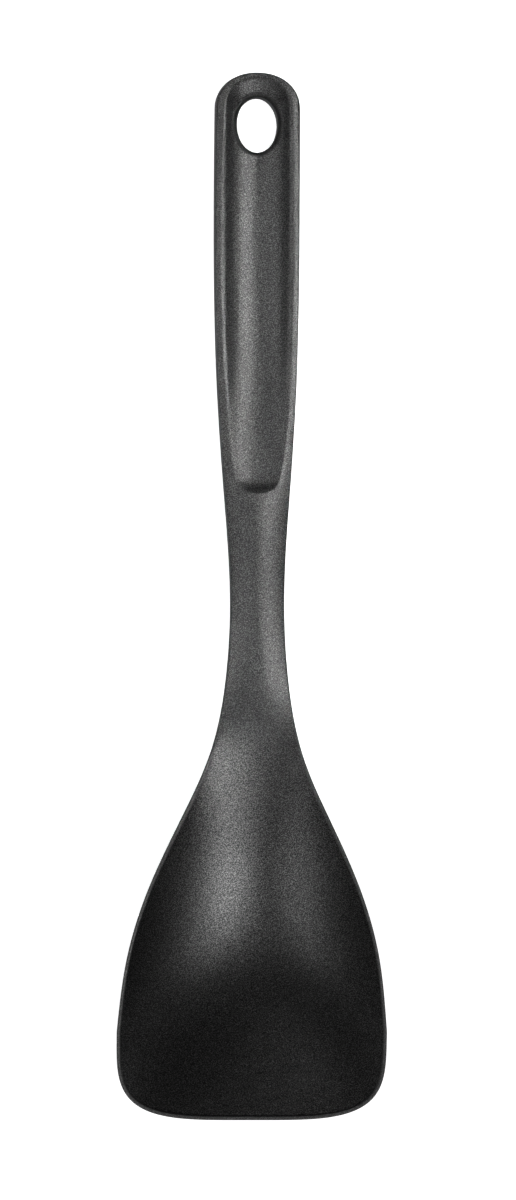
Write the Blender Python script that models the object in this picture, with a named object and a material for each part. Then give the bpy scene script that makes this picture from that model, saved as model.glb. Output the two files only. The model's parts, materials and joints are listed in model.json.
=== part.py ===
"""A one-piece nylon wok turner: a channelled handle with a hanging eye, a waisted neck and a scooped blade.

The tool lies on its back, as on a table. +X runs across it, +Y along it towards the hanging eye, and +Z up
from the table. The origin is on the table under the middle of the tool.

Lengths below are in millimetres, and MM turns them into metres when a mesh is made. A place along the tool
is its distance from the end of the handle. The real tool is one moulding, so its handle, neck and blade are
sections of one continuous shape, and each is laid over a box of cells that follows the same surfaces.
"""

import bmesh
import bpy
import numpy as np

MM = 0.001
LENGTH = 310.0
GAP = 0.3

# Where the moulding is divided into its three sections.
NECK_START = 131.0
BLADE_START = 191.0

# Plan outline: half-widths at places along it, a rounded handle end and a squarer blade tip.
HALF_WIDTHS = (
    (10.97, 12.68),
    (60.0, 12.65),
    (96.0, 11.65),
    (126.0, 9.65),
    (156.0, 8.0),
    (180.0, 9.3),
    (203.0, 14.3),
    (221.0, 22.3),
    (239.0, 30.5),
    (260.0, 37.0),
    (283.4, 40.0),
)
HANDLE_END_ROUND = 2.15
TIP_ROUND = 3.9

# Side view: heights over the table of the front along its two sides and along its middle.
SIDE_HEIGHTS = (
    (0.0, 10.3),
    (30.0, 10.6),
    (70.0, 13.0),
    (110.0, 17.6),
    (130.0, 19.7),
    (150.0, 22.1),
    (172.0, 23.7),
    (186.0, 23.5),
    (192.0, 23.15),
    (198.0, 22.6),
    (209.0, 20.6),
    (221.0, 19.9),
    (233.0, 18.9),
    (245.0, 17.4),
    (257.0, 15.4),
    (269.0, 13.0),
    (281.0, 10.8),
    (295.0, 8.8),
    (310.0, 7.4),
)
MIDDLE_HEIGHTS = (
    (0.0, 10.9),
    (30.0, 11.2),
    (70.0, 13.7),
    (110.0, 18.6),
    (130.0, 21.4),
    (150.0, 23.8),
    (172.0, 24.9),
    (185.0, 24.35),
    (197.0, 21.9),
    (209.0, 18.4),
    (221.0, 14.8),
    (233.0, 11.1),
    (245.0, 7.1),
    (257.0, 3.9),
    (269.0, 2.2),
    (281.0, 2.3),
    (295.0, 3.5),
    (310.0, 5.4),
)

# Thickness of the moulding along its middle and at its sides.
MIDDLE_THICKNESS = (
    (0.0, 11.1),
    (30.0, 11.2),
    (126.0, 10.4),
    (160.0, 8.4),
    (188.0, 7.2),
    (205.0, 5.4),
    (225.0, 3.4),
    (250.0, 2.5),
    (266.0, 2.3),
    (286.0, 2.0),
    (310.0, 1.5),
)
SIDE_THICKNESS = (
    (0.0, 10.4),
    (30.0, 10.5),
    (126.0, 9.2),
    (160.0, 6.6),
    (188.0, 4.6),
    (210.0, 2.6),
    (240.0, 2.0),
    (286.0, 1.9),
    (310.0, 1.5),
)

# How the front and the back cross from the middle to the sides: 1 is a ridge or a valley, 2 a round crown or
# dish, and more is a flat middle that turns near the sides.
CROWN_POWERS = (
    (0.0, 9.0),
    (60.0, 9.0),
    (85.0, 7.4),
    (100.0, 5.0),
    (112.0, 3.0),
    (122.0, 2.1),
    (132.0, 1.65),
    (150.0, 1.6),
    (172.0, 1.85),
    (195.0, 2.0),
    (212.0, 2.25),
    (222.0, 2.25),
    (234.0, 2.0),
    (245.0, 2.0),
    (265.0, 2.3),
    (285.0, 2.6),
    (310.0, 2.6),
)
BACK_POWERS = ((0.0, 2.0), (245.0, 2.0), (265.0, 2.3), (285.0, 2.6), (310.0, 2.6))
RIDGE_ROUND = 0.45

# Rounding of the edges: how far in from the outline the front and the back begin.
FRONT_EDGE = ((0.0, 0.7), (150.0, 0.7), (195.0, 0.5), (310.0, 0.5))
BACK_EDGE = ((0.0, 5.5), (126.0, 4.8), (160.0, 3.4), (195.0, 1.4), (215.0, 0.8), (310.0, 0.7))
FRONT_EDGE_SHARE = 0.38

# Thumb channel in the front of the handle.
CHANNEL_HALF_WIDTHS = (
    (0.0, 9.25),
    (60.0, 9.15),
    (80.0, 8.8),
    (100.0, 8.2),
    (112.0, 7.4),
    (120.0, 6.1),
    (130.0, 4.7),
)
CHANNEL_FLOOR = (
    (0.0, 2.8),
    (60.0, 2.8),
    (85.0, 2.3),
    (100.0, 1.7),
    (112.0, 1.4),
    (120.0, 1.4),
    (130.0, 1.3),
)
CHANNEL_BOWL_SHARE = 0.73
CHANNEL_BOWL_POWER = 2.0
CHANNEL_WALL_POWER = 6.0
CHANNEL_TOP = 1.9
CHANNEL_TOP_ARCH = 9.0
CHANNEL_TOP_POWER = 1.35
CHANNEL_END_ARCH = 119.0
CHANNEL_END = 126.1
CHANNEL_END_RISE = 3.6
CHANNEL_END_POWER = 3.0
CHANNEL_SHOULDERS = ((0.0, 0.1), (6.0, 0.14), (14.0, 0.24), (130.0, 0.24))

# Hanging eye.
EYE_PLACE = 15.35
EYE_HALF_WIDTH = 6.05
EYE_HALF_LENGTH = 8.15
EYE_SEGMENTS = 32
EYE_CUT_HEIGHT = 40.0

NYLON_COLOUR = (0.022, 0.023, 0.025, 1.0)


def smooth_line(stations):
    """A natural cubic spline through (place, value) stations, as a function of place."""
    places, values = np.array(stations).T
    steps = np.diff(places)
    slopes = np.diff(values) / steps
    count = len(places)
    matrix = np.eye(count)
    bends = np.zeros(count)
    for i in range(1, count - 1):
        matrix[i, i - 1 : i + 2] = steps[i - 1], 2 * (steps[i - 1] + steps[i]), steps[i]
        bends[i] = 6 * (slopes[i] - slopes[i - 1])
    bends = np.linalg.solve(matrix, bends)

    def value_at(place):
        place = np.clip(place, places[0], places[-1])
        i = np.clip(np.searchsorted(places, place) - 1, 0, count - 2)
        step = steps[i]
        left = (places[i + 1] - place) / step
        right = (place - places[i]) / step
        bend = (left**3 - left) * bends[i] + (right**3 - right) * bends[i + 1]
        return left * values[i] + right * values[i + 1] + bend * step**2 / 6

    return value_at


half_width = smooth_line(HALF_WIDTHS)
side_height = smooth_line(SIDE_HEIGHTS)
middle_height = smooth_line(MIDDLE_HEIGHTS)
middle_thickness = smooth_line(MIDDLE_THICKNESS)
side_thickness = smooth_line(SIDE_THICKNESS)
crown_power = smooth_line(CROWN_POWERS)
back_power = smooth_line(BACK_POWERS)
channel_half_width = smooth_line(CHANNEL_HALF_WIDTHS)
channel_floor = smooth_line(CHANNEL_FLOOR)
channel_shoulder = smooth_line(CHANNEL_SHOULDERS)
front_edge = smooth_line(FRONT_EDGE)
back_edge = smooth_line(BACK_EDGE)
STRAIGHT_START, END_HALF_WIDTH = HALF_WIDTHS[0]
STRAIGHT_END, TIP_HALF_WIDTH = HALF_WIDTHS[-1]


def crown_share(x, place, power):
    """0 in the middle and 1 at the sides: a low power makes a ridge or a valley, a high one a flat middle."""
    size = np.hypot(x / half_width(place), RIDGE_ROUND) ** power
    return (size - RIDGE_ROUND**power) / (np.hypot(1.0, RIDGE_ROUND) ** power - RIDGE_ROUND**power)


def channel_rise(share):
    """How far the channel has risen from its floor at a share of the way out: a shallow bowl, then a wall."""
    bowl = CHANNEL_BOWL_SHARE * share**CHANNEL_BOWL_POWER
    return bowl + (1 - CHANNEL_BOWL_SHARE) * share**CHANNEL_WALL_POWER


def channel_depth(x, place):
    """How deep the thumb channel is: a hollow with rounded shoulders and a steeper wall at its end."""
    over_top = np.maximum(CHANNEL_TOP_ARCH - place, 0.0) / (CHANNEL_TOP_ARCH - CHANNEL_TOP)
    over_end = np.maximum(place - CHANNEL_END_ARCH, 0.0) / (CHANNEL_END - CHANNEL_END_ARCH)
    across = np.abs(x) / channel_half_width(place)
    floor = channel_floor(place)
    depth = floor * (1 - channel_rise(across) - over_top**CHANNEL_TOP_POWER)
    depth = depth - CHANNEL_END_RISE * over_end**CHANNEL_END_POWER
    return (depth + np.hypot(depth, channel_shoulder(place) * floor)) / 2


def front_height(x, place):
    """Height of the front: rounded rims on the handle, a crown on the neck, a scoop on the blade."""
    rise = side_height(place) - middle_height(place)
    return middle_height(place) + rise * crown_share(x, place, crown_power(place)) - channel_depth(x, place)


def back_height(x, place):
    """Height of the back, which is flat where it would dip under the table."""
    middle = middle_height(place) - middle_thickness(place)
    side = side_height(place) - side_thickness(place)
    return np.maximum(middle + (side - middle) * crown_share(x, place, back_power(place)), 0.0)


def outline_point(across, along, cap):
    """A point of the outline and its outward normal.

    across and along are a point on the edge of the square from -1 to 1. cap is the row where a rounded end
    begins: its place, half-width, length and roundness. Rows that aren't in a cap have along = 0.
    """
    start, width, length, power = cap
    size = (np.abs(across) ** power + np.abs(along) ** power) ** (1 / power)
    x, y = across / size, along / size
    normal = np.array(
        (
            np.sign(x) * np.abs(x) ** (power - 1) / width,
            np.sign(y) * np.abs(y) ** (power - 1) / length,
        )
    )
    return np.array((width * x, start + length * y)), normal / np.linalg.norm(normal)


def plan_point(across, row, inset):
    """Where a cell corner lies in plan, with the outline drawn in by inset.

    row is (place, None) on a straight row, or (share, cap) in a rounded end, whose share runs from 0 at its
    straight row to 1 at its tip.
    """
    share, cap = row
    if cap is None:
        return np.array((across * (half_width(share) - inset), share))
    reach = max(abs(across), share)
    if reach == 0:
        return np.array((0.0, cap[0]))
    start, width, length, power = cap
    upright = start, width, abs(length), power
    point, normal = outline_point(across / reach, np.sign(length) * share / reach, upright)
    middle = np.array((0.0, start))
    return middle + reach * (point - normal * inset - middle)


HANDLE_CAP = (STRAIGHT_START, END_HALF_WIDTH, -STRAIGHT_START, HANDLE_END_ROUND)
TIP_CAP = (STRAIGHT_END, TIP_HALF_WIDTH, LENGTH - STRAIGHT_END, TIP_ROUND)


def skin_point(across, row, deep):
    """A point on the moulding's skin: deep is 1 on the front, -1 on the back and between them on the edge."""
    edge_place = plan_point(across, row, 0.0)[1]
    insets = front_edge(edge_place), back_edge(edge_place)
    front = plan_point(across, row, insets[0])
    back = plan_point(across, row, insets[1])
    top = front_height(*front)
    bottom = back_height(*back)
    if deep == 1:
        return np.array((*front, top))
    if deep == -1:
        return np.array((*back, bottom))
    widest = top - (top - bottom) * FRONT_EDGE_SHARE
    turn = abs(deep) * np.pi / 2
    inset, height = (insets[0], top) if deep > 0 else (insets[1], bottom)
    plan = plan_point(across, row, inset * (1 - np.cos(turn)))
    return np.array((*plan, widest + (height - widest) * np.sin(turn)))


def cut_point(across, place, deep):
    """A point on a flat end where the moulding is divided: between the front and the back of one column."""
    if abs(across) == 1:
        return skin_point(across, (place, None), deep)
    top = skin_point(across, (place, None), 1)
    bottom = skin_point(across, (place, None), -1)
    return bottom + (top - bottom) * (deep + 1) / 2


def cell_box(across, along, deep):
    """A closed box from -1 to 1, divided into cells."""
    mesh = bmesh.new()
    bmesh.ops.create_cube(mesh, size=2.0)
    for axis, cells in enumerate((across, along, deep)):
        edges = [e for e in mesh.edges if abs(e.verts[0].co[axis] - e.verts[1].co[axis]) > 1e-6]
        bmesh.ops.subdivide_edges(mesh, edges=edges, cuts=cells - 1, use_grid_fill=True)
    return mesh


def section(name, columns, rows, deep_cells, collection):
    """One section of the moulding, laid over a box of cells.

    columns are shares from 0 in the middle to 1 at the edge. rows run from the handle's end to the tip,
    each as plan_point takes it.
    """
    mesh = cell_box(2 * (len(columns) - 1), len(rows) - 1, deep_cells)
    for vertex in mesh.verts:
        u, v, w = vertex.co
        column = round((u + 1) * (len(columns) - 1)) - (len(columns) - 1)
        across = float(np.sign(column)) * columns[abs(column)]
        index = round((1 - v) / 2 * (len(rows) - 1))
        deep = round(w * deep_cells / 2) * 2 / deep_cells
        place, cap = rows[index]
        flat_end = index in (0, len(rows) - 1) and cap is None
        if flat_end:
            x, place, z = cut_point(across, place, deep)
        else:
            x, place, z = skin_point(across, rows[index], deep)
        vertex.co = (x * MM, (LENGTH / 2 - place) * MM, z * MM)
    data = bpy.data.meshes.new(name)
    bmesh.ops.recalc_face_normals(mesh, faces=mesh.faces)
    mesh.to_mesh(data)
    mesh.free()
    data.shade_smooth()
    data.set_sharp_from_angle(angle=np.radians(40))
    part = bpy.data.objects.new(name, data)
    collection.objects.link(part)
    return part


def cap_rows(cap, count, from_tip):
    """Rows of a rounded end, closer together towards its tip."""
    shares = [np.sin(np.pi / 2 * i / count) for i in range(count + 1)]
    return [(share, cap) for share in (reversed(shares) if from_tip else shares)]


def straight_rows(start, end, count):
    """Evenly spaced straight rows after start, up to and with end."""
    return [(start + (end - start) * (i + 1) / count, None) for i in range(count)]


def nylon(name, roughness):
    """Black glass-filled nylon as it comes from the mould."""
    material = bpy.data.materials.new(name)
    material.use_nodes = True
    shader = material.node_tree.nodes["Principled BSDF"]
    shader.inputs["Base Color"].default_value = NYLON_COLOUR
    shader.inputs["Roughness"].default_value = roughness
    shader.inputs["Metallic"].default_value = 0.0
    material.diffuse_color = NYLON_COLOUR
    return material


def eye_cutter(collection):
    """An upright elliptical bar the shape of the hanging eye."""
    mesh = bmesh.new()
    bmesh.ops.create_cone(
        mesh, cap_ends=True, segments=EYE_SEGMENTS, radius1=1.0, radius2=1.0, depth=EYE_CUT_HEIGHT * MM
    )
    bmesh.ops.scale(mesh, vec=(EYE_HALF_WIDTH * MM, EYE_HALF_LENGTH * MM, 1.0), verts=mesh.verts)
    data = bpy.data.meshes.new("eye_cutter")
    mesh.to_mesh(data)
    mesh.free()
    cutter = bpy.data.objects.new("eye_cutter", data)
    cutter.location = (0.0, (LENGTH / 2 - EYE_PLACE) * MM, 0.0)
    cutter.hide_render = True
    cutter.display_type = "WIRE"
    collection.objects.link(cutter)
    return cutter


def make_handle(parts, cutters):
    """The handle, with its thumb channel and its hanging eye."""
    columns = (0.0, 0.22, 0.42, 0.57, 0.68, 0.76, 0.86, 1.0)
    rows = cap_rows(HANDLE_CAP, 8, True)
    rows += straight_rows(STRAIGHT_START, 32.0, 6)
    rows += straight_rows(32.0, 104.0, 10)
    rows += straight_rows(104.0, 118.0, 4)
    rows += straight_rows(118.0, 127.0, 8)
    rows += straight_rows(127.0, NECK_START - GAP / 2, 2)
    handle = section("handle", columns, rows, 8, parts)
    cut = handle.modifiers.new("hanging_eye", "BOOLEAN")
    cut.operation = "DIFFERENCE"
    cut.solver = "EXACT"
    cut.object = eye_cutter(cutters)
    handle.data.materials.append(nylon("handle_nylon", 0.5))


def make_neck(parts):
    """The waisted neck between handle and blade."""
    columns = (0.0, 0.25, 0.5, 0.75, 1.0)
    start = NECK_START + GAP / 2
    rows = [(start, None)] + straight_rows(start, BLADE_START - GAP / 2, 14)
    neck = section("neck", columns, rows, 8, parts)
    neck.data.materials.append(nylon("neck_nylon", 0.5))


def make_blade(parts):
    """The scooped blade, whose wall thins towards its tip."""
    columns = (0.0, 0.12, 0.25, 0.4, 0.56, 0.72, 0.87, 1.0)
    start = BLADE_START + GAP / 2
    rows = [(start, None)] + straight_rows(start, STRAIGHT_END, 24) + cap_rows(TIP_CAP, 10, False)[1:]
    blade = section("blade", columns, rows, 4, parts)
    blade.data.materials.append(nylon("blade_nylon", 0.4))


def collection_named(name):
    """A new collection in the scene."""
    collection = bpy.data.collections.new(name)
    bpy.context.scene.collection.children.link(collection)
    return collection


def main():
    for old in list(bpy.data.objects):
        bpy.data.objects.remove(old)
    parts = collection_named("wok_turner")
    cutters = collection_named("cutters")
    make_handle(parts, cutters)
    make_neck(parts)
    make_blade(parts)


main()
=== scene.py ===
"""Looks of the wok turner: one seamless moulding in black nylon, lying on its back on a white table.

The scene is in the frame of the CAD model: +X runs across the tool, +Y along it towards the hanging eye, and
+Z up from the table. Lengths are in millimetres and MM turns them into metres. A place along the tool is its
distance from the end of the handle.
"""

import json

import bpy
import numpy as np
from mathutils import Matrix, Vector

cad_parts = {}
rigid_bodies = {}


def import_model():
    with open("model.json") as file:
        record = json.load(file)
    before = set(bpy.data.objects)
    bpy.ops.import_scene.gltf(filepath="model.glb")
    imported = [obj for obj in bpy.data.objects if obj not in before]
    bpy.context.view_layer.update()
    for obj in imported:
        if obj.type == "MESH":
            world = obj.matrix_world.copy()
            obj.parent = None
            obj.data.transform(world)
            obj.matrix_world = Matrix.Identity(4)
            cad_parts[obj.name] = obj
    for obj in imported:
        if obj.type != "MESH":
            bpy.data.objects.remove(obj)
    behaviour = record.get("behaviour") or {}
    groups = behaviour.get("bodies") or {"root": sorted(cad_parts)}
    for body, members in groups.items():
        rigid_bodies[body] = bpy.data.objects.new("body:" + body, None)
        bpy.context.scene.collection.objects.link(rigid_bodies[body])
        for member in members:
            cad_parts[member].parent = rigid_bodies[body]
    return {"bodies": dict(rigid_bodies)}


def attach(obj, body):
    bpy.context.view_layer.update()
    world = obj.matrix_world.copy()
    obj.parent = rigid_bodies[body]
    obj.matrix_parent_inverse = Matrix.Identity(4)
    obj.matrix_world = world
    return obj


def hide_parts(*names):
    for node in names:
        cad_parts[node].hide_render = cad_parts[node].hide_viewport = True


MM = 0.001

# ---------------------------------------------------------------- the moulding's design, as in the CAD model
HALF_WIDTHS = (
    (10.97, 12.68),
    (60.0, 12.65),
    (96.0, 11.65),
    (126.0, 9.65),
    (156.0, 8.0),
    (180.0, 9.3),
    (203.0, 14.3),
    (221.0, 22.3),
    (239.0, 30.5),
    (260.0, 37.0),
    (283.4, 40.0),
)
HANDLE_END_ROUND = 2.15
TIP_ROUND = 3.9
LENGTH = 310.0
NECK_START = 131.0
BLADE_START = 191.0

SIDE_HEIGHTS = (
    (0.0, 10.3),
    (30.0, 10.6),
    (70.0, 13.0),
    (110.0, 17.6),
    (130.0, 19.7),
    (150.0, 22.1),
    (172.0, 23.7),
    (186.0, 23.5),
    (192.0, 23.15),
    (198.0, 22.6),
    (209.0, 20.6),
    (221.0, 19.9),
    (233.0, 18.9),
    (245.0, 17.4),
    (257.0, 15.4),
    (269.0, 13.0),
    (281.0, 10.8),
    (295.0, 8.8),
    (310.0, 7.4),
)
MIDDLE_HEIGHTS = (
    (0.0, 10.9),
    (30.0, 11.2),
    (70.0, 13.7),
    (110.0, 18.6),
    (130.0, 21.4),
    (150.0, 23.8),
    (172.0, 24.9),
    (185.0, 24.35),
    (197.0, 21.9),
    (209.0, 18.4),
    (221.0, 14.8),
    (233.0, 11.1),
    (245.0, 7.1),
    (257.0, 3.9),
    (269.0, 2.2),
    (281.0, 2.3),
    (295.0, 3.5),
    (310.0, 5.4),
)
MIDDLE_THICKNESS = (
    (0.0, 11.1),
    (30.0, 11.2),
    (126.0, 10.4),
    (160.0, 8.4),
    (188.0, 7.2),
    (205.0, 5.4),
    (225.0, 3.4),
    (250.0, 2.5),
    (266.0, 2.3),
    (286.0, 2.0),
    (310.0, 1.5),
)
SIDE_THICKNESS = (
    (0.0, 10.4),
    (30.0, 10.5),
    (126.0, 9.2),
    (160.0, 6.6),
    (188.0, 4.6),
    (210.0, 2.6),
    (240.0, 2.0),
    (286.0, 1.9),
    (310.0, 1.5),
)
CROWN_POWERS = (
    (0.0, 9.0),
    (60.0, 9.0),
    (85.0, 7.4),
    (100.0, 5.0),
    (112.0, 3.0),
    (122.0, 2.1),
    (132.0, 1.65),
    (150.0, 1.6),
    (172.0, 1.85),
    (195.0, 2.0),
    (212.0, 2.25),
    (222.0, 2.25),
    (234.0, 2.0),
    (245.0, 2.0),
    (265.0, 2.3),
    (285.0, 2.6),
    (310.0, 2.6),
)
BACK_POWERS = ((0.0, 2.0), (245.0, 2.0), (265.0, 2.3), (285.0, 2.6), (310.0, 2.6))
RIDGE_ROUND = 0.45
FRONT_EDGE = ((0.0, 0.7), (150.0, 0.7), (195.0, 0.4), (310.0, 0.35))
RIM_LAND = ((0.0, 0.03), (180.0, 0.03), (192.0, 0.3), (204.0, 0.7), (240.0, 0.8), (280.0, 0.85), (310.0, 1.1))
RIM_LEAN = 0.09
RIM_STEP = 0.45
BACK_EDGE = ((0.0, 5.5), (126.0, 4.8), (160.0, 3.4), (195.0, 1.4), (215.0, 0.8), (310.0, 0.7))
FRONT_EDGE_SHARE = 0.38

CHANNEL_HALF_WIDTHS = (
    (0.0, 9.25),
    (60.0, 9.15),
    (80.0, 8.8),
    (100.0, 8.2),
    (112.0, 7.4),
    (120.0, 6.1),
    (130.0, 4.7),
)
CHANNEL_FLOOR = (
    (0.0, 2.8),
    (60.0, 2.8),
    (85.0, 2.3),
    (100.0, 1.7),
    (112.0, 1.4),
    (120.0, 1.4),
    (130.0, 1.3),
)
CHANNEL_BOWL_SHARE = 0.73
CHANNEL_BOWL_POWER = 2.0
CHANNEL_WALL_POWER = 6.0
CHANNEL_TOP = 1.9
CHANNEL_TOP_ARCH = 9.0
CHANNEL_TOP_POWER = 1.35
CHANNEL_END_ARCH = 119.0
CHANNEL_END = 126.1
CHANNEL_END_RISE = 3.6
CHANNEL_END_POWER = 3.0
CHANNEL_SHOULDERS = ((0.0, 0.1), (6.0, 0.14), (14.0, 0.24), (130.0, 0.24))

EYE_PLACE = 15.35
EYE_HALF_WIDTH = 6.05
EYE_HALF_LENGTH = 8.15
EYE_EDGE = 1.4
EYE_EDGE_DEPTH = 1.6

# ---------------------------------------------------------------- how finely the skin is drawn
HALF_COLUMNS = 48
EYE_LAYERS = 18
EYE_BLOCK_END = 33.0
END_ROWS = 96
TIP_ROWS = 44
ROW_STEP = 0.5
EDGE_STEPS = 20
RIM_BORDER = 1.3
RIM_RINGS = (0.9, 0.6, 0.38, 0.2, 0.08, 0.0)
LAND_STEPS = 4
EYE_EDGE_STEPS = 6
EYE_WALL_STEPS = 6
CAP_SHARE = 0.29
SLOPE_STEP = 0.05

# ---------------------------------------------------------------- finish of the nylon, with painted light and shade
REFRACTION = 1.5
FINE_START = 186.0
FINE_END = 206.0
# The handle's grey is partly its rougher grain and partly painted light: the handle is painted a lighter grey
# than the blade.
HANDLE_GREY_AND_PAINTED_LIGHT = 0.014
BLADE_GREY = 0.002
HANDLE_ROUGHNESS = 0.40
BLADE_ROUGHNESS = 0.35
# The blade's rim and rounded outer edge are painted a lighter grey: a painted highlight where the rim catches
# the light.
RIM_PAINTED_HIGHLIGHT_GREY = 0.045
RIM_ROUGHNESS = 0.42
# The hanging eye's wall and rounded edges get painted shade: a darker grey and a weaker shine than the rest,
# in place of the shade inside the hole.
EYE_WALL_PAINTED_SHADE_GREY = 0.012
WALL_ROUGHNESS = 0.5
EYE_WALL_PAINTED_SHADE_SPARKLE = (0.2, 0.6)
GRAIN_SCALE = 3000.0
GRAIN_DEPTH = 0.000025
SPARKLE_SCALE = 4000.0
SPARKLE_NOISE = (0.42, 0.78)
SPARKLE = (0.2, 1.4)

# ---------------------------------------------------------------- lights
# Each has a name, the point it serves, the slopes there that mirror it to the camera, its distance, its size,
# its power in watts and how many degrees it spreads.
LIGHTS = (
    ("blade_key", (0, -95, 10), (0.14, 0.37), 2400, 700, 26.0, 180),
    ("blade_side", (0, -95, 10), (-0.25, 0.35), 1200, 300, 1.8, 180),
    ("blade_fill", (0, -95, 10), (-0.13, -0.16), 1200, 300, 1.0, 180),
    ("handle_key", (0, 100, 15), (0.145, -0.105), 900, 120, 0.0655, 19),
    ("handle_side", (0, 100, 15), (-0.26, -0.10), 900, 120, 0.015, 19),
    ("neck_key", (0, -26, 24), (0.17, 0.0), 900, 70, 0.0119, 9),
    ("neck_side", (0, -26, 24), (-0.26, 0.0), 900, 70, 0.006, 9),
    ("shoulder_key", (0, -46, 22), (0.2, 0.2), 600, 24, 0.0008, 4),
)
SKY = 0.027
GROUND = 0.55
GROUND_SIDE = (-0.8, 0.0, -0.6)
GROUND_FADE = (0.3, 1.0)

# ---------------------------------------------------------------- table
TABLE_REACH = 4000.0
TABLE_GAP = 0.05
TABLE_GREY = 0.85
TABLE_ROUGHNESS = 0.9
TABLE_GLOW = 0.9

# ---------------------------------------------------------------- camera
CAMERA_HEIGHT = 1500.0
CAMERA_SIDE = 96.0
VIEW_LENGTH = 355.9
SENSOR = 36.0
VIEW_REACH = 20.0
AIM = (1.57, -0.9)
ROLL = 0.36


def smooth_line(stations):
    """A natural cubic spline through (place, value) stations, as a function of place."""
    places, values = np.array(stations).T
    steps = np.diff(places)
    slopes = np.diff(values) / steps
    count = len(places)
    matrix = np.eye(count)
    bends = np.zeros(count)
    for i in range(1, count - 1):
        matrix[i, i - 1 : i + 2] = steps[i - 1], 2 * (steps[i - 1] + steps[i]), steps[i]
        bends[i] = 6 * (slopes[i] - slopes[i - 1])
    bends = np.linalg.solve(matrix, bends)

    def value_at(place):
        place = np.clip(place, places[0], places[-1])
        i = np.clip(np.searchsorted(places, place) - 1, 0, count - 2)
        step = steps[i]
        left = (places[i + 1] - place) / step
        right = (place - places[i]) / step
        bend = (left**3 - left) * bends[i] + (right**3 - right) * bends[i + 1]
        return left * values[i] + right * values[i + 1] + bend * step**2 / 6

    return value_at


half_width = smooth_line(HALF_WIDTHS)
side_height = smooth_line(SIDE_HEIGHTS)
middle_height = smooth_line(MIDDLE_HEIGHTS)
middle_thickness = smooth_line(MIDDLE_THICKNESS)
side_thickness = smooth_line(SIDE_THICKNESS)
crown_power = smooth_line(CROWN_POWERS)
back_power = smooth_line(BACK_POWERS)
channel_half_width = smooth_line(CHANNEL_HALF_WIDTHS)
channel_floor = smooth_line(CHANNEL_FLOOR)
channel_shoulder = smooth_line(CHANNEL_SHOULDERS)
front_edge = smooth_line(FRONT_EDGE)
rim_land = smooth_line(RIM_LAND)
back_edge = smooth_line(BACK_EDGE)
STRAIGHT_START, END_HALF_WIDTH = HALF_WIDTHS[0]
STRAIGHT_END, TIP_HALF_WIDTH = HALF_WIDTHS[-1]


def crown_share(x, place, power):
    """0 in the middle and 1 at the sides: a low power makes a ridge or a valley, a high one a flat middle."""
    size = np.hypot(x / half_width(place), RIDGE_ROUND) ** power
    return (size - RIDGE_ROUND**power) / (np.hypot(1.0, RIDGE_ROUND) ** power - RIDGE_ROUND**power)


def channel_rise(share):
    """How far the channel has risen from its floor at a share of the way out: a shallow bowl, then a wall."""
    bowl = CHANNEL_BOWL_SHARE * share**CHANNEL_BOWL_POWER
    return bowl + (1 - CHANNEL_BOWL_SHARE) * share**CHANNEL_WALL_POWER


def channel_depth(x, place):
    """How deep the thumb channel is: a hollow with rounded shoulders and a steeper wall at its end."""
    over_top = np.maximum(CHANNEL_TOP_ARCH - place, 0.0) / (CHANNEL_TOP_ARCH - CHANNEL_TOP)
    over_end = np.maximum(place - CHANNEL_END_ARCH, 0.0) / (CHANNEL_END - CHANNEL_END_ARCH)
    across = np.abs(x) / channel_half_width(place)
    floor = channel_floor(place)
    depth = floor * (1 - channel_rise(across) - over_top**CHANNEL_TOP_POWER)
    depth = depth - CHANNEL_END_RISE * over_end**CHANNEL_END_POWER
    return (depth + np.hypot(depth, channel_shoulder(place) * floor)) / 2


def front_height(x, place):
    """Height of the front: rounded rims on the handle, a crown on the neck, a scoop on the blade."""
    rise = side_height(place) - middle_height(place)
    return middle_height(place) + rise * crown_share(x, place, crown_power(place)) - channel_depth(x, place)


def back_height(x, place):
    """Height of the back, which is flat where it would dip under the table."""
    middle = middle_height(place) - middle_thickness(place)
    side = side_height(place) - side_thickness(place)
    return np.maximum(middle + (side - middle) * crown_share(x, place, back_power(place)), 0.0)


# ---------------------------------------------------------------- where the corners of the skin's cells lie
def rounded_end(across, along, cap):
    """Points of a rounded end's outline and their outward normals, for points on the edge of a square.

    cap is the place, half-width, length and roundness of the end. A negative length points to the handle.
    """
    start, width, length, power = cap
    size = (np.abs(across) ** power + np.abs(along) ** power) ** (1 / power)
    x, y = across / size, along / size
    nx = np.sign(x) * np.abs(x) ** (power - 1) / width
    ny = np.sign(length) * y ** (power - 1) / abs(length)
    norm = np.hypot(nx, ny)
    return width * x, start + length * y, nx / norm, ny / norm


HANDLE_CAP = (STRAIGHT_START, END_HALF_WIDTH, -STRAIGHT_START, HANDLE_END_ROUND)
TIP_CAP = (STRAIGHT_END, TIP_HALF_WIDTH, LENGTH - STRAIGHT_END, TIP_ROUND)


def side_line(place, across):
    """Points of the outline and outward normals on straight rows."""
    slope = (half_width(place + SLOPE_STEP) - half_width(place - SLOPE_STEP)) / (2 * SLOPE_STEP)
    spread = np.sqrt(1 + slope**2)
    return across * half_width(place), place, across * spread, np.zeros_like(place)


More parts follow.
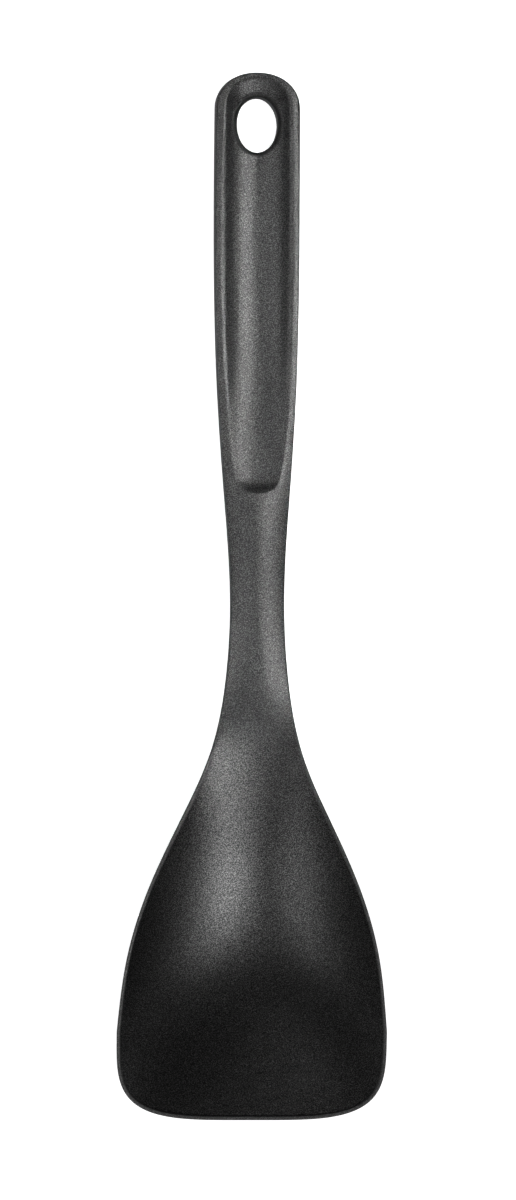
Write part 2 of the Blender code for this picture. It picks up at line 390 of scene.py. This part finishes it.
def eye_block(i, j, inset):
    """Cell corners between the hanging eye and the outline, in rings around the eye."""
    half = END_ROWS / 2
    p, q = i.astype(float), j - half
    ring_columns, ring_rows = HALF_COLUMNS - EYE_LAYERS, half - EYE_LAYERS
    layer = np.maximum(np.maximum(np.abs(p) - ring_columns, np.abs(q) - ring_rows), 0)
    p = np.clip(p / (ring_columns + layer), -1, 1)
    q = np.clip(q / (ring_rows + layer), -1, 1)
    turn = np.arctan2(q, p)
    eye_x, eye_y = EYE_HALF_WIDTH * np.cos(turn), EYE_HALF_LENGTH * np.sin(turn)
    nx, ny = np.cos(turn) / EYE_HALF_WIDTH, np.sin(turn) / EYE_HALF_LENGTH
    norm = np.hypot(nx, ny)
    inner = eye_x + EYE_EDGE * nx / norm, EYE_PLACE + eye_y + EYE_EDGE * ny / norm
    outer = frame_point(p, q, inset)
    share = layer / EYE_LAYERS
    return inner[0] + (outer[0] - inner[0]) * share, inner[1] + (outer[1] - inner[1]) * share


def frame_point(p, q, inset):
    """Points on the frame of the eye's block: the rounded end, the two sides and a straight row."""
    turn_row = -1 + 2 * CAP_SHARE
    along = np.where(np.abs(p) < 1, 1.0, np.clip((turn_row - q) / (turn_row + 1), 0, 1))
    cx, cy, cnx, cny = rounded_end(p, along, HANDLE_CAP)
    place = STRAIGHT_START + (EYE_BLOCK_END - STRAIGHT_START) * np.clip((q - turn_row) / (1 - turn_row), 0, 1)
    sx, sy, snx, sny = side_line(place, p)
    in_cap = (q < turn_row) | ((np.abs(p) < 1) & (q < 0))
    x, y = np.where(in_cap, cx, sx), np.where(in_cap, cy, sy)
    nx, ny = np.where(in_cap, cnx, snx), np.where(in_cap, cny, sny)
    return x - nx * inset, y - ny * inset


def tip_block(i, j, rows, inset):
    """Cell corners of the blade's tip, in rows that bend from straight to the tip's outline."""
    p, r = i / HALF_COLUMNS, j / rows
    reach = np.maximum(np.maximum(np.abs(p), r), 1e-9)
    x, y, nx, ny = rounded_end(p / reach, r / reach, TIP_CAP)
    return reach * (x - nx * inset), STRAIGHT_END + reach * (y - ny * inset - STRAIGHT_END)


def straight_block(i, place, inset):
    """Cell corners on straight rows."""
    x, y, nx, ny = side_line(place, np.ones_like(place))
    return i / HALF_COLUMNS * (x - nx * inset), y


MOULDED, RIM, EYE_WALL = range(3)
STRAIGHT_ROWS = round((STRAIGHT_END - EYE_BLOCK_END) / ROW_STEP)
ROWS = END_ROWS + STRAIGHT_ROWS + TIP_ROWS


def row_place(j):
    """Place of each straight row. Rows in the rounded ends keep the place of the nearest straight one."""
    share = np.clip((j - END_ROWS) / STRAIGHT_ROWS, 0, 1)
    return EYE_BLOCK_END + (STRAIGHT_END - EYE_BLOCK_END) * share


def plan(i, j, inset):
    """Where cell corners (i, j) lie in plan, with the outline drawn in by inset."""
    x, y = straight_block(i, row_place(j), inset)
    in_end, in_tip = j < END_ROWS, j > END_ROWS + STRAIGHT_ROWS
    x[in_end], y[in_end] = eye_block(i[in_end], j[in_end], inset[in_end])
    from_tip = j[in_tip] - END_ROWS - STRAIGHT_ROWS
    x[in_tip], y[in_tip] = tip_block(i[in_tip], from_tip, TIP_ROWS, inset[in_tip])
    return x, y


def square_loop(i_low, i_high, j_low, j_high):
    """The corners around a block of cells, in order."""
    i = np.arange(i_low, i_high + 1)
    j = np.arange(j_low, j_high + 1)
    around_i = (i[:-1], np.full(len(j) - 1, i_high), i[:0:-1], np.full(len(j) - 1, i_low))
    around_j = (np.full(len(i) - 1, j_low), j[:-1], np.full(len(i) - 1, j_high), j[:0:-1])
    return np.concatenate(around_i), np.concatenate(around_j)


def front_border(place):
    """How far in from the outline the even grid of the front begins."""
    return front_edge(place) + rim_land(place) + RIM_BORDER


def edge_points(i, j):
    """Rings of points round the edge: up to the rim, over its land, round the edge and under to the back."""
    _, place = plan(i, j, np.zeros(len(i)))
    edge, land, back = front_edge(place), rim_land(place), back_edge(place)
    rings = []
    for extra in RIM_RINGS:
        x, y = plan(i, j, edge + land + extra)
        rings.append((x, y, front_height(x, y)))
    inner_x, inner_y, inner = rings[-1]
    for step in range(1, LAND_STEPS + 1):
        x, y = plan(i, j, edge + land * (1 - step / LAND_STEPS))
        fall = side_height(y) - side_height(inner_y)
        rings.append((x, y, inner + RIM_STEP * land + fall + RIM_LEAN * np.abs(x - inner_x)))
    top = rings[-1][2]
    x, y = plan(i, j, back)
    bottom = back_height(x, y)
    widest = top - (top - bottom) * FRONT_EDGE_SHARE
    for step in range(1, EDGE_STEPS):
        turn = np.pi / 2 - np.pi * step / EDGE_STEPS
        inset, height = (edge, top) if turn > 0 else (back, bottom)
        x, y = plan(i, j, inset * (1 - np.cos(turn)))
        rings.append((x, y, widest + (height - widest) * abs(np.sin(turn))))
    return rings


def eye_points(i, j):
    """Rings of points through the hanging eye: a rounded front edge, a straight wall, a rounded back edge."""
    x, y = plan(i, j, np.zeros(len(i)))
    top, bottom = front_height(x, y), back_height(x, y)
    p, q = i / (HALF_COLUMNS - EYE_LAYERS), (j - END_ROWS / 2) / (END_ROWS / 2 - EYE_LAYERS)
    turn = np.arctan2(q, p)
    wall_x, wall_y = EYE_HALF_WIDTH * np.cos(turn), EYE_PLACE + EYE_HALF_LENGTH * np.sin(turn)

    def edge_ring(step, face, inwards):
        angle = np.pi / 2 * step / EYE_EDGE_STEPS
        share = np.sin(angle)
        height = face + inwards * EYE_EDGE_DEPTH * (1 - np.cos(angle))
        return x + (wall_x - x) * share, y + (wall_y - y) * share, height

    rings = [edge_ring(step, top, -1) for step in range(1, EYE_EDGE_STEPS + 1)]
    low, high = bottom + EYE_EDGE_DEPTH, top - EYE_EDGE_DEPTH
    for step in range(1, EYE_WALL_STEPS):
        rings.append((wall_x, wall_y, high + (low - high) * step / EYE_WALL_STEPS))
    return rings + [edge_ring(step, bottom, 1) for step in range(EYE_EDGE_STEPS, 0, -1)]


def build_skin():
    """The whole moulding as one closed skin: its points, four-cornered faces, and their rows and finishes."""
    columns = 2 * HALF_COLUMNS + 1
    i, j = np.meshgrid(np.arange(-HALF_COLUMNS, HALF_COLUMNS + 1), np.arange(ROWS + 1))
    i, j = i.ravel(), j.ravel()
    _, place = plan(i, j, np.zeros(len(i)))
    points = []
    for edge, height in ((front_border, front_height), (back_edge, back_height)):
        x, y = plan(i, j, edge(place))
        points.append(np.column_stack((x, y, height(x, y))))
    ci, cj = np.meshgrid(np.arange(-HALF_COLUMNS, HALF_COLUMNS), np.arange(ROWS))
    ci, cj = ci.ravel(), cj.ravel()
    open_cell = (np.abs(ci + 0.5) < HALF_COLUMNS - EYE_LAYERS) & (
        np.abs(cj + 0.5 - END_ROWS / 2) < END_ROWS / 2 - EYE_LAYERS
    )
    ci, cj = ci[~open_cell], cj[~open_cell]
    first = cj * columns + ci + HALF_COLUMNS
    front = np.column_stack((first, first + columns, first + columns + 1, first + 1))
    back = (front + columns * (ROWS + 1))[:, ::-1]
    faces, face_rows, finishes = [front, back], [cj, cj], [np.zeros(2 * len(cj), int)]
    count = 2 * columns * (ROWS + 1)

    def tube(loop_i, loop_j, rings, outward, kinds):
        nonlocal count
        size = len(loop_i)
        start = loop_j * columns + loop_i + HALF_COLUMNS
        ids = [start]
        for ring in rings:
            points.append(np.column_stack(ring))
            ids.append(np.arange(count, count + size))
            count += size
        ids.append(start + columns * (ROWS + 1))
        rows = np.minimum(loop_j, np.roll(loop_j, -1))
        for upper, lower, kind in zip(ids[:-1], ids[1:], kinds, strict=True):
            quads = np.column_stack((upper, np.roll(upper, -1), np.roll(lower, -1), lower))
            faces.append(quads if outward else quads[:, ::-1])
            face_rows.append(np.minimum(rows, ROWS - 1))
            finishes.append(np.full(size, kind))

    loop = square_loop(-HALF_COLUMNS, HALF_COLUMNS, 0, ROWS)
    rings, inner = edge_points(*loop), len(RIM_RINGS)
    tube(*loop, rings, True, [MOULDED] * inner + [RIM] * (len(rings) + 1 - inner))
    m, n = HALF_COLUMNS - EYE_LAYERS, END_ROWS // 2 - EYE_LAYERS
    loop = square_loop(-m, m, END_ROWS // 2 - n, END_ROWS // 2 + n)
    rings = eye_points(*loop)
    # The eye's wall and edges take the finish with painted shade.
    tube(*loop, rings, False, [EYE_WALL] * (len(rings) + 1))
    points = np.concatenate(points)
    world = np.column_stack((points[:, 0], LENGTH / 2 - points[:, 1], points[:, 2])) * MM
    return world, np.concatenate(faces), np.concatenate(face_rows), np.concatenate(finishes)


def skin_normals(points, faces):
    """Smooth normals of the whole skin, so that its sections meet without a visible line."""
    a, b, c, d = (points[faces[:, k]] for k in range(4))
    face_normals = np.cross(c - a, d - b)
    normals = np.zeros_like(points)
    for k in range(4):
        np.add.at(normals, faces[:, k], face_normals)
    return normals / np.maximum(np.linalg.norm(normals, axis=1, keepdims=True), 1e-20)


def open_ends(faces):
    """The loops of corners round a section's open ends, each in the order that its closing face takes."""
    edges = np.concatenate([np.column_stack((faces[:, k], faces[:, (k + 1) % 4])) for k in range(4)])
    keys = edges.min(axis=1) * (edges.max() + 1) + edges.max(axis=1)
    _, first, count = np.unique(keys, return_index=True, return_counts=True)
    following = {int(end): int(start) for start, end in edges[first[count == 1]]}
    ends = []
    while following:
        start, corner = following.popitem()
        loop = [start]
        while corner != start:
            loop.append(corner)
            corner = following.pop(corner)
        ends.append(loop)
    return ends


def make_piece(name, node, points, faces, normals, finishes):
    """One section of the skin, closed by a flat face where the moulding is divided, for its CAD node."""
    used, corners = np.unique(faces, return_inverse=True)
    sides = corners.reshape(faces.shape)
    ends = open_ends(sides)
    mesh = bpy.data.meshes.new(name)
    mesh.from_pydata(points[used].tolist(), [], sides.tolist() + ends)
    mesh.shade_smooth()
    smooth = normals[used][sides.ravel()]
    flat = [mesh.polygons[len(sides) + k].normal for k, end in enumerate(ends) for _ in end]
    mesh.normals_split_custom_set(np.concatenate((smooth, np.reshape(flat, (-1, 3)))).tolist())
    for material in materials:
        mesh.materials.append(material)
    mesh.polygons.foreach_set("material_index", np.append(finishes, np.zeros(len(ends), int)))
    piece = bpy.data.objects.new(name, mesh)
    bpy.context.scene.collection.objects.link(piece)
    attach(piece, body)
    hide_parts(node)
    return piece


def grey_colour(value):
    return value, value, value, 1.0


def nylon(name, upper, lower, sparkle_range):
    """Black glass-filled nylon with a fine grain and sparkle.

    upper is the grey and the roughness of the handle. Where lower differs, the grey and roughness turn to it
    at the shoulder of the blade. The handle's lighter grey is partly its rougher grain and partly painted
    light.
    """
    material = bpy.data.materials.new(name)
    material.use_nodes = True
    nodes, links = material.node_tree.nodes, material.node_tree.links
    shader = nodes["Principled BSDF"]
    shader.inputs["IOR"].default_value = REFRACTION
    shader.inputs["Base Color"].default_value = grey_colour(upper[0])
    shader.inputs["Roughness"].default_value = upper[1]
    where = nodes.new("ShaderNodeTexCoord")
    if lower != upper:
        split = nodes.new("ShaderNodeSeparateXYZ")
        links.new(where.outputs["Object"], split.inputs["Vector"])
        along = nodes.new("ShaderNodeMapRange")
        along.interpolation_type = "SMOOTHSTEP"
        along.inputs["From Min"].default_value = (LENGTH / 2 - FINE_START) * MM
        along.inputs["From Max"].default_value = (LENGTH / 2 - FINE_END) * MM
        links.new(split.outputs["Y"], along.inputs["Value"])
        colour = nodes.new("ShaderNodeMix")
        colour.data_type = "RGBA"
        links.new(along.outputs["Result"], colour.inputs["Factor"])
        colour.inputs["A"].default_value = grey_colour(upper[0])
        colour.inputs["B"].default_value = grey_colour(lower[0])
        links.new(colour.outputs["Result"], shader.inputs["Base Color"])
        rough = nodes.new("ShaderNodeMapRange")
        rough.inputs["To Min"].default_value = upper[1]
        rough.inputs["To Max"].default_value = lower[1]
        links.new(along.outputs["Result"], rough.inputs["Value"])
        links.new(rough.outputs["Result"], shader.inputs["Roughness"])
    grain = nodes.new("ShaderNodeTexNoise")
    grain.inputs["Scale"].default_value = GRAIN_SCALE
    grain.inputs["Detail"].default_value = 1.0
    links.new(where.outputs["Object"], grain.inputs["Vector"])
    sparkle = nodes.new("ShaderNodeTexNoise")
    sparkle.inputs["Scale"].default_value = SPARKLE_SCALE
    sparkle.inputs["Detail"].default_value = 0.0
    links.new(where.outputs["Object"], sparkle.inputs["Vector"])
    shine = nodes.new("ShaderNodeMapRange")
    shine.inputs["From Min"].default_value, shine.inputs["From Max"].default_value = SPARKLE_NOISE
    shine.inputs["To Min"].default_value, shine.inputs["To Max"].default_value = sparkle_range
    links.new(sparkle.outputs["Fac"], shine.inputs["Value"])
    links.new(shine.outputs["Result"], shader.inputs["Specular IOR Level"])
    bump = nodes.new("ShaderNodeBump")
    bump.inputs["Strength"].default_value = 1.0
    bump.inputs["Distance"].default_value = GRAIN_DEPTH
    links.new(grain.outputs["Fac"], bump.inputs["Height"])
    links.new(bump.outputs["Normal"], shader.inputs["Normal"])
    return material


def table_white():
    """An evenly lit, dull white."""
    material = bpy.data.materials.new("table_white")
    material.use_nodes = True
    shader = material.node_tree.nodes["Principled BSDF"]
    shader.inputs["Base Color"].default_value = grey_colour(TABLE_GREY)
    shader.inputs["Roughness"].default_value = TABLE_ROUGHNESS
    shader.inputs["Specular IOR Level"].default_value = 0.0
    shader.inputs["Emission Color"].default_value = grey_colour(1.0)
    shader.inputs["Emission Strength"].default_value = TABLE_GLOW
    return material


def make_floor():
    """A large white table top, just clear of the flats that the tool lies on."""
    mesh = bpy.data.meshes.new("table")
    reach, level = TABLE_REACH * MM, -TABLE_GAP * MM
    corners = [(-reach, -reach, level), (reach, -reach, level), (reach, reach, level), (-reach, reach, level)]
    mesh.from_pydata(corners, [], [(0, 1, 2, 3)])
    mesh.materials.append(table_white())
    floor = bpy.data.objects.new("table", mesh)
    floor.visible_glossy = False
    floor.visible_diffuse = False
    bpy.context.scene.collection.objects.link(floor)


CAMERA_PLACE = Vector((AIM[0] - CAMERA_SIDE, AIM[1], CAMERA_HEIGHT)) * MM


def soft_light(name, target, slopes, distance, size, power, spread):
    """A square soft light that the target mirrors to the camera where it slopes this much to +X and -Y."""
    target = Vector(target) * MM
    view = (CAMERA_PLACE - target).normalized()
    normal = Vector((slopes[0], -slopes[1], 1.0)).normalized()
    direction = 2 * normal.dot(view) * normal - view
    data = bpy.data.lights.new(name, "AREA")
    data.shape = "SQUARE"
    data.size = size * MM
    data.energy = power
    data.spread = np.radians(spread)
    lamp = bpy.data.objects.new(name, data)
    lamp.location = target + direction * distance * MM
    lamp.rotation_euler = (-direction).to_track_quat("-Z", "Y").to_euler()
    bpy.context.scene.collection.objects.link(lamp)


def make_lights():
    """The soft lights, and a world that is dim all round and brighter from below on the left."""
    for light in LIGHTS:
        soft_light(*light)
    world = bpy.data.worlds.new("studio")
    world.use_nodes = True
    nodes, links = world.node_tree.nodes, world.node_tree.links
    where = nodes.new("ShaderNodeTexCoord")
    facing = nodes.new("ShaderNodeVectorMath")
    facing.operation = "DOT_PRODUCT"
    links.new(where.outputs["Generated"], facing.inputs[0])
    facing.inputs[1].default_value = GROUND_SIDE
    shade = nodes.new("ShaderNodeMapRange")
    shade.inputs["From Min"].default_value, shade.inputs["From Max"].default_value = GROUND_FADE
    shade.inputs["To Min"].default_value, shade.inputs["To Max"].default_value = SKY, GROUND
    links.new(facing.outputs["Value"], shade.inputs["Value"])
    links.new(shade.outputs["Result"], nodes["Background"].inputs["Strength"])
    nodes["Background"].inputs["Color"].default_value = grey_colour(1.0)
    bpy.context.scene.world = world


def make_camera():
    """High above the tool and a little to its left."""
    data = bpy.data.cameras.new("camera")
    data.sensor_width = SENSOR
    data.lens = SENSOR * CAMERA_HEIGHT / VIEW_LENGTH
    data.clip_end = VIEW_REACH
    camera = bpy.data.objects.new("camera", data)
    camera.location = CAMERA_PLACE
    aim = Vector((AIM[0], AIM[1], 0.0)) * MM
    back = (CAMERA_PLACE - aim).normalized()
    up = Vector((-np.sin(np.radians(ROLL)), np.cos(np.radians(ROLL)), 0.0))
    right = up.cross(back).normalized()
    camera.rotation_euler = Matrix((right, back.cross(right), back)).transposed().to_euler()
    bpy.context.scene.collection.objects.link(camera)
    bpy.context.scene.camera = camera


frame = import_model()
body = next(iter(frame["bodies"]))
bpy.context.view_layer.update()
points, faces, face_rows, finishes = build_skin()
normals = skin_normals(points, faces)
# grey is the handle's grey, lighter than the blade's partly as painted light.
grey, black = (HANDLE_GREY_AND_PAINTED_LIGHT, HANDLE_ROUGHNESS), (BLADE_GREY, BLADE_ROUGHNESS)
rim, wall = (RIM_PAINTED_HIGHLIGHT_GREY, RIM_ROUGHNESS), (EYE_WALL_PAINTED_SHADE_GREY, WALL_ROUGHNESS)
materials = (
    nylon("black_nylon", grey, black, SPARKLE),
    # On the blade the rim is painted lighter grey, a painted highlight along its edge.
    nylon("black_nylon_rim_painted_highlight", grey, rim, SPARKLE),
    # The eye's wall and edges: painted shade, a darker grey and a weaker shine.
    nylon("black_nylon_eye_wall_painted_shade", wall, wall, EYE_WALL_PAINTED_SHADE_SPARKLE),
)
neck_row = END_ROWS + round((NECK_START - EYE_BLOCK_END) / ROW_STEP)
blade_row = END_ROWS + round((BLADE_START - EYE_BLOCK_END) / ROW_STEP)
spans = (("handle", 0, neck_row), ("neck", neck_row, blade_row), ("blade", blade_row, ROWS))
for node, start, end in spans:
    own = (face_rows >= start) & (face_rows < end)
    make_piece(f"{node}_moulding", node, points, faces[own], normals, finishes[own])
make_floor()
make_lights()
make_camera()
bpy.context.scene.view_settings.view_transform = "Standard"
